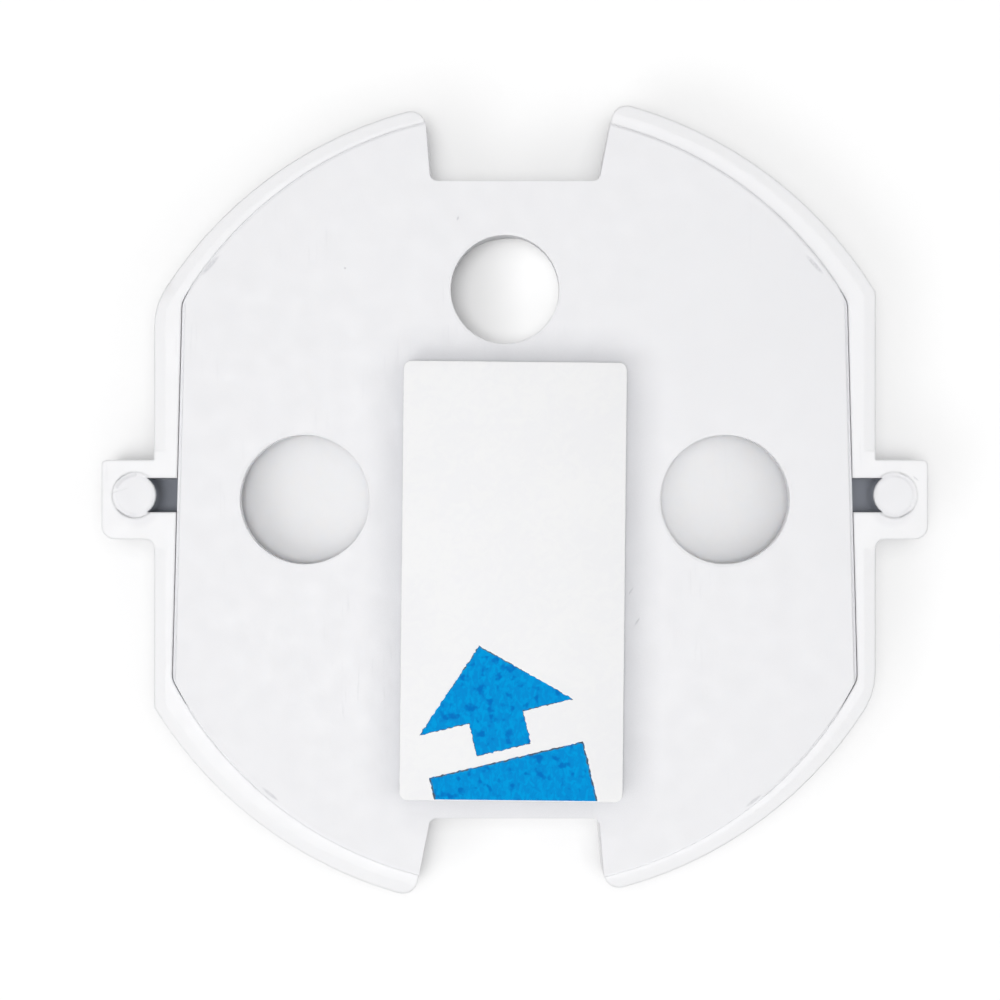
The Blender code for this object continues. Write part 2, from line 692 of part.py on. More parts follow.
def make_back_plate(parts, cutters):
    flange_outline = plate_outline(PLATE_EDGE_GAP - PLATE_FIT, PLATE_ARC_GAP - PLATE_FIT)
    plate = prism("back_plate", flange_outline, PLATE_FRONT, GROOVE_LEVEL, parts)
    face_start = (PLATE_FRONT + GROOVE_LEVEL) / 2
    combine(plate, prism("plate_face", plate_outline(), face_start, PLATE_BACK, cutters), "UNION")
    for sign in (-1, 1):
        notch = prism(f"plate_notch_{sign}", notch_outline(sign), BELOW, ABOVE, cutters)
        combine(plate, notch)

    post_profile = [
        (0.0, PLATE_FRONT + PLATE_THICKNESS / 2),
        (POST_RADIUS, PLATE_FRONT + PLATE_THICKNESS / 2),
        (POST_RADIUS, POCKET_FLOOR + RUNNING_GAP),
        (0.0, POCKET_FLOOR + RUNNING_GAP),
    ]
    combine(plate, turned("plate_post", post_profile, cutters, SMALL_TURN_STEPS), "UNION")
    slit_depth = PLATE_FRONT + POST_SLIT_OVERCUT - POCKET_FLOOR
    slit_size = (2 * POST_RADIUS, POST_SLIT_WIDTH, slit_depth)
    slit_place = (POST_RADIUS, 0.0, POCKET_FLOOR + slit_depth / 2)
    combine(plate, block("post_slit", slit_size, slit_place, cutters))

    holes = (
        ("pin_hole_left", PIN_HOLE_RADIUS, (-PIN_RADIUS_FROM_AXIS, 0.0)),
        ("pin_hole_right", PIN_HOLE_RADIUS, (PIN_RADIUS_FROM_AXIS, 0.0)),
        ("earth_hole", EARTH_HOLE_RADIUS, (EARTH_SHIFT, EARTH_OFFSET)),
    )
    for name, radius, place in holes:
        profile = [
            (0.0, ABOVE),
            (radius + HOLE_CHAMFER, ABOVE),
            (radius + HOLE_CHAMFER, PLATE_BACK),
            (radius, PLATE_BACK - HOLE_CHAMFER),
            (radius, LEDGE_LEVEL),
            (0.0, LEDGE_LEVEL),
        ]
        hole = turned(name, profile, cutters, HOLE_TURN_STEPS)
        hole.location = (*place, 0.0)
        combine(plate, hole)
    return plate


def make_spring(parts):
    """A coil round the plate's post, with one leg in the post's slit and one in the dial's."""
    low = POCKET_FLOOR + RUNNING_GAP + SPRING_WIRE / 2
    points = [(SPRING_RADIUS - SPRING_INNER_LEG, 0.0, low)]
    count = int((SPRING_TURNS + 0.5) * SPRING_STEPS)
    for i in range(count + 1):
        turn = i / SPRING_STEPS
        x, y = polar(SPRING_RADIUS, 2 * math.pi * turn)
        rise = SPRING_PITCH * max(0.0, turn - SPRING_LEVEL_TURN)
        points.append((x, y, low + rise))
    points.append((-SPRING_RADIUS - SPRING_LEG, 0.0, points[-1][2]))
    curve = bpy.data.curves.new("return_spring", "CURVE")
    curve.dimensions = "3D"
    curve.bevel_depth = SPRING_WIRE / 2
    curve.bevel_resolution = 2
    curve.use_fill_caps = True
    spline = curve.splines.new("POLY")
    spline.points.add(len(points) - 1)
    for point, place in zip(spline.points, points):
        point.co = (*place, 1.0)
    spring = bpy.data.objects.new("return_spring", curve)
    parts.objects.link(spring)
    return spring


def pad_outline():
    half_x = PAD_WIDTH / 2
    half_y = PAD_HEIGHT / 2
    signs = ((1, 1), (-1, 1), (-1, -1), (1, -1))
    return rounded([(half_x * sx, half_y * sy, PAD_CORNER_RADIUS) for sx, sy in signs])


def place_pad(body):
    body.location.x = PAD_X
    body.location.y = PAD_Y
    body.rotation_euler.z = PAD_TURN


def make_pad(parts):
    low = PLATE_BACK + GLUE_GAP
    pad = prism("foam_pad", pad_outline(), low, low + PAD_THICKNESS, parts)
    place_pad(pad)
    return pad


def make_liner(parts):
    low = PLATE_BACK + GLUE_GAP + PAD_THICKNESS + GLUE_GAP
    liner = prism("release_liner", pad_outline(), low, low + LINER_THICKNESS, parts)
    place_pad(liner)
    return liner


def main():
    clear_scene()
    parts = new_collection("outlet_safety_cover")
    cutters = new_collection("cutters")
    white = plastic("white_plastic", (0.88, 0.88, 0.90), 0.42)
    foam = plastic("white_foam", (0.90, 0.90, 0.92), 0.80)
    paper = plastic("liner_paper", (0.91, 0.91, 0.93), 0.50)
    steel = plastic("spring_steel", (0.55, 0.55, 0.57), 0.30, 1.0)

    smooth(make_housing(parts, cutters), white)
    smooth(make_back_plate(parts, cutters), white)
    smooth(make_dial(parts, cutters), white)
    smooth(make_pad(parts), foam)
    smooth(make_liner(parts), paper)
    make_spring(parts).data.materials.append(steel)
    add_planned_cuts()


main()
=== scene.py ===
import math

import bmesh
import bpy
from mathutils import Matrix, Vector, noise


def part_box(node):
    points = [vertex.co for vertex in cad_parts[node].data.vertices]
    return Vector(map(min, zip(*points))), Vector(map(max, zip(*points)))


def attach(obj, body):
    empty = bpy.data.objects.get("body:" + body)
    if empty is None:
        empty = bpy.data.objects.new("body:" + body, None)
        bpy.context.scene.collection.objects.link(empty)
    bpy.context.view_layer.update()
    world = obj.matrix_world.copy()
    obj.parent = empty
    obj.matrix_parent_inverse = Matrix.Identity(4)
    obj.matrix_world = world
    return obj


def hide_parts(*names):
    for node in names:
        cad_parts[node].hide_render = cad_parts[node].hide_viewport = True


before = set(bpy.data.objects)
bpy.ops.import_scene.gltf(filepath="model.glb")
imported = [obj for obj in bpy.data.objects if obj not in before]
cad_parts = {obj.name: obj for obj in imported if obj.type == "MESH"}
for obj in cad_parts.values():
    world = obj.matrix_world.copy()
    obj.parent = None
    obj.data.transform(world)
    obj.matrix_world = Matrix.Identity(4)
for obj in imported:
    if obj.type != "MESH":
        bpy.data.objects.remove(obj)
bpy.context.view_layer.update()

# unless a note says otherwise, sizes and places are in mm, turns in degrees and noise scales per metre
mm = 0.001
softRays = 4             # rays of each occlusion and bevel node
levelWithin = 0.01       # vertices this near a height belong to it


# Small helpers for meshes

def meshFrom(name, form):
    mesh = bpy.data.meshes.new(name)
    form.to_mesh(mesh)
    form.free()
    return mesh


def addObject(name, data):
    thing = bpy.data.objects.new(name, data)
    bpy.context.scene.collection.objects.link(thing)
    return thing


def newPiece(name, form, material, body, smoothUnder=40.0):
    mesh = meshFrom(name, form)
    mesh.shade_smooth()
    mesh.set_sharp_from_angle(angle=math.radians(smoothUnder))
    mesh.materials.append(material)
    piece = addObject(name, mesh)
    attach(piece, body)
    return piece


def moveForm(form, matrix):
    bmesh.ops.transform(form, matrix=matrix, verts=form.verts)


def roundEdges(form, edges, radius, segments):
    bmesh.ops.bevel(form, geom=edges, offset=radius, offset_type="OFFSET", affect="EDGES",
                    segments=segments, profile=0.5, material=-1, clamp_overlap=True)


def sharpEdges(form, fromAngle):
    limit = math.radians(fromAngle)
    return [e for e in form.edges if len(e.link_faces) == 2 and e.calc_face_angle() > limit]


def edgeRise(edge):
    return abs(edge.verts[0].co.z - edge.verts[1].co.z)


# Node helpers for materials

def wire(tree, source, target):
    tree.links.new(source, target)


def addNode(tree, kind, values=None, **settings):
    node = tree.nodes.new(kind)
    for key, value in settings.items():
        setattr(node, key, value)
    for key, value in (values or {}).items():
        if isinstance(value, bpy.types.NodeSocket):
            tree.links.new(value, node.inputs[key])
        else:
            node.inputs[key].default_value = value
    return node


def objectPlace(tree):
    return addNode(tree, "ShaderNodeTexCoord").outputs["Object"]


def splitPlace(tree):
    return addNode(tree, "ShaderNodeSeparateXYZ", {0: objectPlace(tree)}).outputs


def mathNode(tree, operation, first, second=0.0, third=0.0, clamp=False):
    values = {0: first, 1: second, 2: third}
    return addNode(tree, "ShaderNodeMath", values, operation=operation, use_clamp=clamp).outputs[0]


def times(tree, first, second):
    return mathNode(tree, "MULTIPLY", first, second)


def timesPlus(tree, first, second, third, clamp=False):
    return mathNode(tree, "MULTIPLY_ADD", first, second, third, clamp)


def vectorNode(tree, operation, first, second=(0.0, 0.0, 0.0)):
    return addNode(tree, "ShaderNodeVectorMath", {0: first, 1: second}, operation=operation).outputs


def noiseNode(tree, place, scale, detail=2.0, roughness=0.5, distortion=0.0):
    values = {"Vector": place, "Scale": scale, "Detail": detail, "Roughness": roughness,
              "Distortion": distortion}
    return addNode(tree, "ShaderNodeTexNoise", values).outputs["Fac"]


def rangeNode(tree, value, band, toLow=0.0, toHigh=1.0, soft=False):
    values = {"Value": value, "From Min": band[0], "From Max": band[1], "To Min": toLow, "To Max": toHigh}
    kind = "SMOOTHSTEP" if soft else "LINEAR"
    return addNode(tree, "ShaderNodeMapRange", values, interpolation_type=kind).outputs["Result"]


def insideMask(tree, value, low, high):
    return times(tree, mathNode(tree, "GREATER_THAN", value, low), mathNode(tree, "LESS_THAN", value, high))


def opaque(color):
    return (*color, 1.0)


def mixColor(tree, factor, first, second, blend="MIX"):
    node = addNode(tree, "ShaderNodeMix", data_type="RGBA", blend_type=blend)
    for socket, value in ((0, factor), (6, first), (7, second)):
        if isinstance(value, bpy.types.NodeSocket):
            tree.links.new(value, node.inputs[socket])
        else:
            node.inputs[socket].default_value = value
    return node.outputs[2]


def newGroup(name, inputs, outputs):
    group = bpy.data.node_groups.new(name, "ShaderNodeTree")
    for label, kind, value in inputs:
        socket = group.interface.new_socket(label, in_out="INPUT", socket_type="NodeSocket" + kind)
        socket.default_value = value
    for label, kind in outputs:
        group.interface.new_socket(label, in_out="OUTPUT", socket_type="NodeSocket" + kind)
    return group, group.nodes.new("NodeGroupInput").outputs, group.nodes.new("NodeGroupOutput").inputs


def placeGroup(tree, group, values):
    node = addNode(tree, "ShaderNodeGroup", node_tree=group)
    for key, value in values.items():
        node.inputs[key].default_value = value
    return node.outputs


def newMaterial(name, shaderValues):
    material = bpy.data.materials.new(name)
    material.use_nodes = True
    shader = material.node_tree.nodes["Principled BSDF"]
    for key, value in shaderValues.items():
        shader.inputs[key].default_value = value
    return material, material.node_tree, shader


def finishShader(tree, shader, color, roughness, height, depth, edgeRadius=0.0):
    # depth of the relief and edge radius are in mm
    wire(tree, color, shader.inputs["Base Color"])
    wire(tree, roughness, shader.inputs["Roughness"])
    bump = addNode(tree, "ShaderNodeBump", {"Distance": depth * mm, "Height": height})
    if edgeRadius:      # a small round along every edge, seen in the shading
        edge = addNode(tree, "ShaderNodeBevel", {"Radius": edgeRadius * mm}, samples=softRays)
        wire(tree, edge.outputs["Normal"], bump.inputs["Normal"])
    wire(tree, bump.outputs["Normal"], shader.inputs["Normal"])


# Moulded plastic: slow tone changes, a fine spark-eroded grain, sink waves and hairline scuffs

# the turn of the hairlines is in radians
mouldedPattern = {
    "ior": 1.49, "subsurfaceRadius": (1.0, 0.95, 0.9),
    "patchRatio": 4.3, "patchShare": 0.4, "patchRoughness": 0.18, "waveScale": 160.0,
    "hairTurn": 0.7, "hairStretch": (1.0, 0.05, 1.0), "hairScale": 9000.0, "hairBand": (0.66, 0.74),
    "wornScale": 210.0, "wornBand": (0.52, 0.68),
    "scuffTint": (0.55, 0.55, 0.58), "scuffShare": 0.10, "scuffDepth": 0.6, "scuffRoughness": 0.15,
    "markBand": (0.05, 0.6), "breakScale": 12000.0, "breakBand": (0.30, 0.55), "breakLeast": 0.35,
}


def makeMouldedGroup():
    look = mouldedPattern
    group, given, put = newGroup(
        "mouldedSkin",
        [("Tint", "Color", (0.9, 0.9, 0.9, 1.0)), ("Mottle", "Float", 0.02), ("MottleScale", "Float", 300.0),
         ("GrainScale", "Float", 6000.0), ("Grain", "Float", 0.5), ("Wave", "Float", 0.5),
         ("Scuff", "Float", 0.5), ("BaseRoughness", "Float", 0.4)],
        [("Color", "Color"), ("Roughness", "Float"), ("Height", "Float")])
    place = objectPlace(group)

    broad = noiseNode(group, place, given["MottleScale"], detail=3.0, roughness=0.55)
    patch = noiseNode(group, place, times(group, given["MottleScale"], look["patchRatio"]))
    tone = timesPlus(group, patch, look["patchShare"], times(group, broad, 1.0 - look["patchShare"]))
    swing = times(group, mathNode(group, "SUBTRACT", tone, 0.5), given["Mottle"])
    bright = timesPlus(group, swing, 2.0, 1.0)
    shade = addNode(group, "ShaderNodeCombineColor", {0: bright, 1: bright, 2: bright}).outputs[0]
    tinted = mixColor(group, 1.0, given["Tint"], shade, "MULTIPLY")

    stretched = addNode(group, "ShaderNodeMapping", {
        "Vector": place, "Rotation": (0.0, 0.0, look["hairTurn"]), "Scale": look["hairStretch"]}).outputs[0]
    hair = noiseNode(group, stretched, look["hairScale"], detail=1.0, roughness=0.4)
    worn = rangeNode(group, noiseNode(group, place, look["wornScale"]), look["wornBand"], soft=True)
    line = rangeNode(group, hair, look["hairBand"], soft=True)
    scuff = times(group, times(group, line, worn), given["Scuff"])
    scuffed = mixColor(group, times(group, scuff, look["scuffShare"]), tinted, opaque(look["scuffTint"]))

    grain = noiseNode(group, place, given["GrainScale"], roughness=0.6)
    wave = noiseNode(group, place, look["waveScale"], detail=1.0)
    height = timesPlus(group, wave, given["Wave"], times(group, grain, given["Grain"]))
    height = timesPlus(group, scuff, -look["scuffDepth"], height)

    patchSwing = mathNode(group, "SUBTRACT", patch, 0.5)
    rough = timesPlus(group, patchSwing, look["patchRoughness"], given["BaseRoughness"])
    rough = timesPlus(group, scuff, look["scuffRoughness"], rough, clamp=True)
    wire(group, scuffed, put["Color"])
    wire(group, rough, put["Roughness"])
    wire(group, height, put["Height"])
    return group


def markMask(tree, marks):
    # each mark is an ellipse: x, y, half length, half width in mm, and its turn in degrees
    look = mouldedPattern
    place = objectPlace(tree)
    mask = 0.0
    for x, y, halfLength, halfWidth, turn in marks:
        local = addNode(tree, "ShaderNodeMapping", {
            "Vector": place, "Location": (x * mm, y * mm, 0.0),
            "Rotation": (0.0, 0.0, math.radians(turn)),
            "Scale": (halfLength * mm, halfWidth * mm, 1.0)}, vector_type="TEXTURE").outputs[0]
        blob = addNode(tree, "ShaderNodeTexGradient", {"Vector": local}, gradient_type="SPHERICAL")
        mask = mathNode(tree, "MAXIMUM", blob.outputs["Fac"], mask)
    gaps = noiseNode(tree, place, look["breakScale"], detail=1.0)
    broken = rangeNode(tree, gaps, look["breakBand"], look["breakLeast"])
    return times(tree, rangeNode(tree, mask, look["markBand"], soft=True), broken)


def slotShadeMask(tree, slot):
    # painted shade in the insides of both ear slots: from and to beside the middle, centre, half width, foot
    # and top in mm
    near, far, centre, half, foot, top = [value * mm for value in slot]
    x, y, z = splitPlace(tree)
    along = insideMask(tree, mathNode(tree, "ABSOLUTE", x), near, far)
    across = insideMask(tree, y, centre - half, centre + half)
    return times(tree, times(tree, along, across), insideMask(tree, z, foot, top))


def pegShadeMask(tree, look):
    # painted shade on the beads in both ears
    x, y, reach = [value * mm for value in look["peg"]]
    fadeFrom, fadeTo = look["pegFade"]
    sides = vectorNode(tree, "ABSOLUTE", objectPlace(tree))[0]
    flat = vectorNode(tree, "MULTIPLY", sides, (1.0, 1.0, 0.0))[0]
    away = vectorNode(tree, "DISTANCE", flat, (x, y, 0.0))["Value"]
    return rangeNode(tree, away, (reach * fadeFrom, reach * fadeTo), 1.0, 0.0, soft=True)


def paintedShadowMask(tree, look):
    # painted shadow at the foot of a taller piece that stands in the direction the occlusion rays lean to
    near = addNode(tree, "ShaderNodeAmbientOcclusion", {
        "Distance": look["shadowReach"] * mm, "Normal": look["shadowCasterSide"]}, samples=softRays)
    shadowShare = rangeNode(tree, near.outputs["AO"], look["shadowBand"], look["paintedShadow"], 0.0)
    onTop = mathNode(tree, "GREATER_THAN", splitPlace(tree)[2], look["shadowFrom"] * mm)
    return times(tree, shadowShare, onTop)


mouldedGroup = makeMouldedGroup()


def makeMouldedMaterial(name, look):
    material, tree, shader = newMaterial(name, {
        "IOR": mouldedPattern["ior"], "Specular IOR Level": look["specular"],
        "Subsurface Weight": look["subsurface"], "Subsurface Radius": mouldedPattern["subsurfaceRadius"],
        "Subsurface Scale": look["subsurfaceDepth"] * mm})
    skin = placeGroup(tree, mouldedGroup, {
        "Tint": opaque(look["tint"]), "Mottle": look["mottle"], "MottleScale": look["mottleScale"],
        "GrainScale": look["grainScale"], "Grain": look["grain"], "Wave": look["wave"],
        "Scuff": look["scuff"], "BaseRoughness": look["roughness"]})
    color = skin["Color"]
    relief = skin["Height"]
    if look["marks"]:
        mask = markMask(tree, look["marks"])
        color = mixColor(tree, times(tree, mask, look["markStrength"]), color, opaque(look["markTint"]))
        relief = timesPlus(tree, mask, -look["markDepth"], relief)
    if "peg" in look:
        # painted shade on the beads in the ears
        color = mixColor(tree, pegShadeMask(tree, look), color, opaque(look["pegShadeTint"]))
    if "slot" in look:
        # painted shade inside the ear slots
        color = mixColor(tree, slotShadeMask(tree, look["slot"]), color, opaque(look["slotShadeTint"]))
    # painted shadow of the pad on the plate beside it
    if "paintedShadow" in look:
        color = mixColor(tree, paintedShadowMask(tree, look), color, opaque(look["shadowTint"]))
    finishShader(tree, shader, color, skin["Roughness"], relief, look["bump"], look["edgeRadius"])
    return material


# Housing, back plate and dial: copies of the solids, with edges that are rounded in the shading

housingLook = {
    # painted light: the housing's tint is lighter than the plate's, so its rim reads brighter
    "tint": (0.94, 0.94, 0.955), "mottle": 0.016, "mottleScale": 260.0, "grainScale": 5200.0,
    "grain": 0.5, "wave": 1.2, "scuff": 0.5, "roughness": 0.42, "specular": 0.45,
    "subsurface": 0.10, "subsurfaceDepth": 0.35, "bump": 0.004,
    "edgeRadius": 0.15, "sharpFrom": 22.0, "merge": 0.0005, "flatWithin": 0.3,
    # painted shade inside the ear slots: where it lies, and its tint
    "slot": (14.9, 17.9, 0.20, 0.85, 0.5, 4.3), "slotShadeTint": (0.36, 0.38, 0.43),
    # each peg: its centre beside the middle and its radius, with the painted shade fading between two shares
    # of it
    "peg": (17.06, 0.20, 1.04), "pegFade": (0.8, 1.15), "pegShadeTint": (0.885, 0.885, 0.905),
    # the ring round each peg: its height, how far it is raised, and its reach past the peg
    "pegRing": (4.48, 0.15, 0.03),
    # the edge facet: the rim's height, the share of the facet that stays, its depth and its start past a peg
    "facet": (4.70, 0.2, 0.3, 0.1),
    "markStrength": 0.35, "markTint": (0.5, 0.5, 0.54), "markDepth": 2.0,
    "marks": [(-17.85, 0.42, 0.55, 0.05, 20.0), (18.15, 0.95, 0.22, 0.05, -40.0)],
}
plateLook = {
    "tint": (0.885, 0.885, 0.905), "mottle": 0.014, "mottleScale": 240.0, "grainScale": 5600.0,
    "grain": 0.5, "wave": 1.0, "scuff": 0.6, "roughness": 0.45, "specular": 0.45,
    "subsurface": 0.10, "subsurfaceDepth": 0.35, "bump": 0.004,
    "edgeRadius": 0.04, "sharpFrom": 32.0, "merge": 0.0005, "flatWithin": 0.3,
    # the flange is widened by flangeReach and raised by flangeRise between the plate's two flats
    "flangeBelow": 0.30, "flangeFrom": 3.8, "flangeReach": 0.04, "flangeRise": 0.10, "flangeFlats": 14.7,
    "holeEdge": (4.83, 0.10),       # height of the foot of the holes' facets, and how far it is raised
    # painted shadow of the pad on the plate, darker on the side away from where the rays lean
    "paintedShadow": 0.95, "shadowBand": (0.35, 1.0), "shadowReach": 1.9, "shadowFrom": 4.90,
    "shadowTint": (0.55, 0.555, 0.58), "shadowCasterSide": (-0.60, -0.46, 0.66),
    "markStrength": 0.45, "markTint": (0.5, 0.5, 0.54), "markDepth": 2.5,
    "marks": [(-2.57, 12.71, 0.16, 0.06, 70.0), (-7.67, 10.46, 0.07, 0.06, 0.0),
              (5.25, -4.13, 0.22, 0.05, 60.0), (5.52, -5.53, 0.30, 0.05, 55.0),
              (-13.75, 10.60, 0.75, 0.13, 48.0), (13.55, 10.62, 0.70, 0.12, -48.0),
              (-11.05, -13.30, 0.60, 0.09, -40.0), (10.80, -13.60, 0.55, 0.09, 38.0)],
}
dialLook = {
    # painted light: the dial's tint is lighter than the plate's, so the floors of the holes read brighter
    "tint": (0.925, 0.925, 0.945), "mottle": 0.018, "mottleScale": 420.0, "grainScale": 4800.0,
    "grain": 0.6, "wave": 1.4, "scuff": 0.3, "roughness": 0.46, "specular": 0.45,
    "subsurface": 0.60, "subsurfaceDepth": 1.2, "bump": 0.004,
    "edgeRadius": 0.10, "sharpFrom": 32.0, "merge": 0.002, "flatWithin": 0.8,
    "marks": [],
}
steepUnder = 0.1         # a wall's normal rises less than this


def atLevel(vert, level):
    return abs(vert.co.z / mm - level) < levelWithin


def pastPeg(vert, look):
    x, y, reach = look["peg"]
    return math.hypot(abs(vert.co.x) / mm - x, vert.co.y / mm - y) - reach


def closeFlangeGap(form, look):
    # in the photo no dark groove shows along the plate's curved edges, so its flange is widened and raised
    low = look["flangeFrom"] * mm
    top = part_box("back_plate")[1].z - look["flangeBelow"] * mm
    flats = look["flangeFlats"] * mm
    moves = {}
    for face in form.faces:
        heights = [vert.co.z for vert in face.verts]
        if abs(face.normal.z) < steepUnder and max(heights) < top and min(heights) > low:
            for vert in [v for v in face.verts if abs(v.co.x) < flats]:
                moves.setdefault(vert, Vector())
                moves[vert] += face.normal * face.calc_area()
    for vert, away in moves.items():
        away.z = 0.0
        vert.co += away.normalized() * look["flangeReach"] * mm
    groove = max(vert.co.z for vert in moves) / mm
    for vert in form.verts:
        if atLevel(vert, groove) and abs(vert.co.x) < flats:
            vert.co.z += look["flangeRise"] * mm


def sharpenHoles(form, look):
    # in the photo the holes have crisp edges, so their small facets are nearly closed
    foot, rise = look["holeEdge"]
    for vert in form.verts:
        if atLevel(vert, foot):
            vert.co.z += rise * mm


def fillPegRing(form, look):
    # in the photo each peg is one soft bead, so the groove round it is nearly filled
    level, rise, reach = look["pegRing"]
    for vert in form.verts:
        if pastPeg(vert, look) < reach and atLevel(vert, level):
            vert.co.z += rise * mm


def flattenFacet(form, look):
    # in the photo the rim is flat right to its edge, so the foot of the edge facet is raised
    rim, share, depth, start = look["facet"]
    for vert in form.verts:
        below = rim - vert.co.z / mm
        if pastPeg(vert, look) > start and levelWithin < below < depth:
            vert.co.z = (rim - below * share) * mm


def softenedCopy(nodeName, pieceName, look, body):
    form = bmesh.new()
    form.from_mesh(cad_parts[nodeName].data)
    bmesh.ops.remove_doubles(form, verts=form.verts, dist=look["merge"] * mm)
    bmesh.ops.dissolve_limit(form, angle_limit=math.radians(look["flatWithin"]), verts=form.verts,
                             edges=form.edges)
    if "flangeReach" in look:
        closeFlangeGap(form, look)
    if "holeEdge" in look:
        sharpenHoles(form, look)
    if "pegRing" in look:
        fillPegRing(form, look)
    if "facet" in look:
        flattenFacet(form, look)
    material = makeMouldedMaterial(pieceName + "Plastic", look)
    piece = newPiece(pieceName, form, material, body, smoothUnder=look["sharpFrom"])
    flatsFirst = piece.modifiers.new("flatsFirst", "WEIGHTED_NORMAL")
    flatsFirst.keep_sharp = True
    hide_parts(nodeName)
    return piece


housing = softenedCopy("front_housing", "housing_shell", housingLook, "housing")
plate = softenedCopy("back_plate", "plate_shell", plateLook, "housing")
dial = softenedCopy("twist_dial", "dial_shell", dialLook, "dial")
print("moulded pieces:", len(housing.data.polygons), len(plate.data.polygons), len(dial.data.polygons))


# Return spring: the CAD wire itself in drawn steel

springLook = {
    "tint": (0.52, 0.52, 0.54), "darkShare": 0.8, "roughness": (0.20, 0.40),
    "drawScale": 2600.0, "drawDepth": 0.002,
}


def makeSpringMaterial():
    look = springLook
    material, tree, shader = newMaterial("springSteel", {"Metallic": 1.0})
    drawn = noiseNode(tree, objectPlace(tree), look["drawScale"], detail=3.0, roughness=0.6)
    dark = [part * look["darkShare"] for part in look["tint"]]
    color = mixColor(tree, drawn, opaque(dark), opaque(look["tint"]))
    rough = rangeNode(tree, drawn, (0.0, 1.0), *look["roughness"])
    finishShader(tree, shader, color, rough, drawn, look["drawDepth"])
    return material


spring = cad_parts["return_spring"]
spring.data.materials.clear()
spring.data.materials.append(makeSpringMaterial())
print("return spring: drawn steel")


# Adhesive pad: a strip of closed-cell foam, turned a little on the plate

padLook = {
    "turn": -0.6, "cornerRadius": 0.35, "cornerSegments": 7, "cellSize": 0.11, "layers": 11,
    "pitDepth": 0.035, "pitScale": 7.0, "pitSlope": 1.6, "bow": 0.03,
    "tint": (0.90, 0.90, 0.915), "shade": (0.80, 0.80, 0.82), "roughness": (0.65, 0.85),
    "specular": 0.3, "subsurface": 0.25, "subsurfaceDepth": 0.3,
    "cellScale": 9000.0, "cellBand": (0.0, 0.5), "cellShare": 0.6, "cellDepth": 0.02, "cloudScale": 900.0,
}
padTurn = math.radians(padLook["turn"])
levelRise = 1e-6         # a level edge rises less than this, in metres
sideFrom = 0.3           # a normal this long in plan belongs to a side wall


def unturnedSize(node):
    # the strip is turned a little in plan, so its own width and height come from its box
    low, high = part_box(node)
    wide, tall = high.x - low.x, high.y - low.y
    c, s = math.cos(abs(padTurn)), math.sin(abs(padTurn))
    width = (wide * c - tall * s) / (c * c - s * s)
    height = (tall * c - wide * s) / (c * c - s * s)
    return width, height, high.z - low.z, (low + high) / 2


def stripForm(node):
    width, height, depth, middle = unturnedSize(node)
    form = bmesh.new()
    bmesh.ops.create_cube(form, size=1.0)
    bmesh.ops.scale(form, vec=(width, height, depth), verts=form.verts)
    corners = [e for e in form.edges if edgeRise(e) > depth / 2]
    roundEdges(form, corners, padLook["cornerRadius"] * mm, padLook["cornerSegments"])
    return form, depth / 2, Matrix.Translation(middle) @ Matrix.Rotation(padTurn, 4, "Z")


def cutInto(form, edges, spacing):
    lengths = {}
    for edge in edges:
        lengths.setdefault(round(edge.calc_length() / spacing), []).append(edge)
    for cuts, alike in lengths.items():
        if cuts > 1:
            bmesh.ops.subdivide_edges(form, edges=alike, cuts=cuts - 1, use_grid_fill=True)


def pressSide(vert, half):
    # the cut sides bow inwards a little and have open cells
    side = Vector((vert.normal.x, vert.normal.y, 0.0))
    if side.length < sideFrom:
        return
    side.normalize()
    distances, _ = noise.voronoi(vert.co / mm * padLook["pitScale"])
    pit = padLook["pitDepth"] * max(0.0, 1.0 - padLook["pitSlope"] * distances[0])
    hollow = padLook["bow"] * (1.0 - (vert.co.z / half) ** 2)
    vert.co -= side * (pit + hollow) * mm


def makePadForm():
    form, half, place = stripForm("foam_pad")
    cutInto(form, [e for e in form.edges if edgeRise(e) < levelRise], padLook["cellSize"] * mm)
    posts = [e for e in form.edges if edgeRise(e) > half]
    bmesh.ops.subdivide_edges(form, edges=posts, cuts=padLook["layers"], use_grid_fill=True)
    form.normal_update()
    for vert in form.verts:
        pressSide(vert, half)
    moveForm(form, place)
    return form


def makeFoamMaterial():
    look = padLook
    material, tree, shader = newMaterial("foamTape", {
        "Specular IOR Level": look["specular"], "Subsurface Weight": look["subsurface"],
        "Subsurface Radius": (1.0, 1.0, 1.0), "Subsurface Scale": look["subsurfaceDepth"] * mm})
    place = objectPlace(tree)
    cells = addNode(tree, "ShaderNodeTexVoronoi", {"Vector": place, "Scale": look["cellScale"]})
    cloud = noiseNode(tree, place, look["cloudScale"], detail=3.0)
    pits = rangeNode(tree, cells.outputs["Distance"], look["cellBand"], soft=True)
    cloudPart = times(tree, cloud, 1.0 - look["cellShare"])
    factor = timesPlus(tree, pits, look["cellShare"], cloudPart, clamp=True)
    color = mixColor(tree, factor, opaque(look["shade"]), opaque(look["tint"]))
    rough = rangeNode(tree, cloud, (0.0, 1.0), *look["roughness"])
    finishShader(tree, shader, color, rough, pits, look["cellDepth"])
    return material


pad = newPiece("foam_strip", makePadForm(), makeFoamMaterial(), "housing", smoothUnder=60.0)
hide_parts("foam_pad")
print("foam strip:", len(pad.data.polygons), "faces")


# Release liner: coated paper, lightly clouded

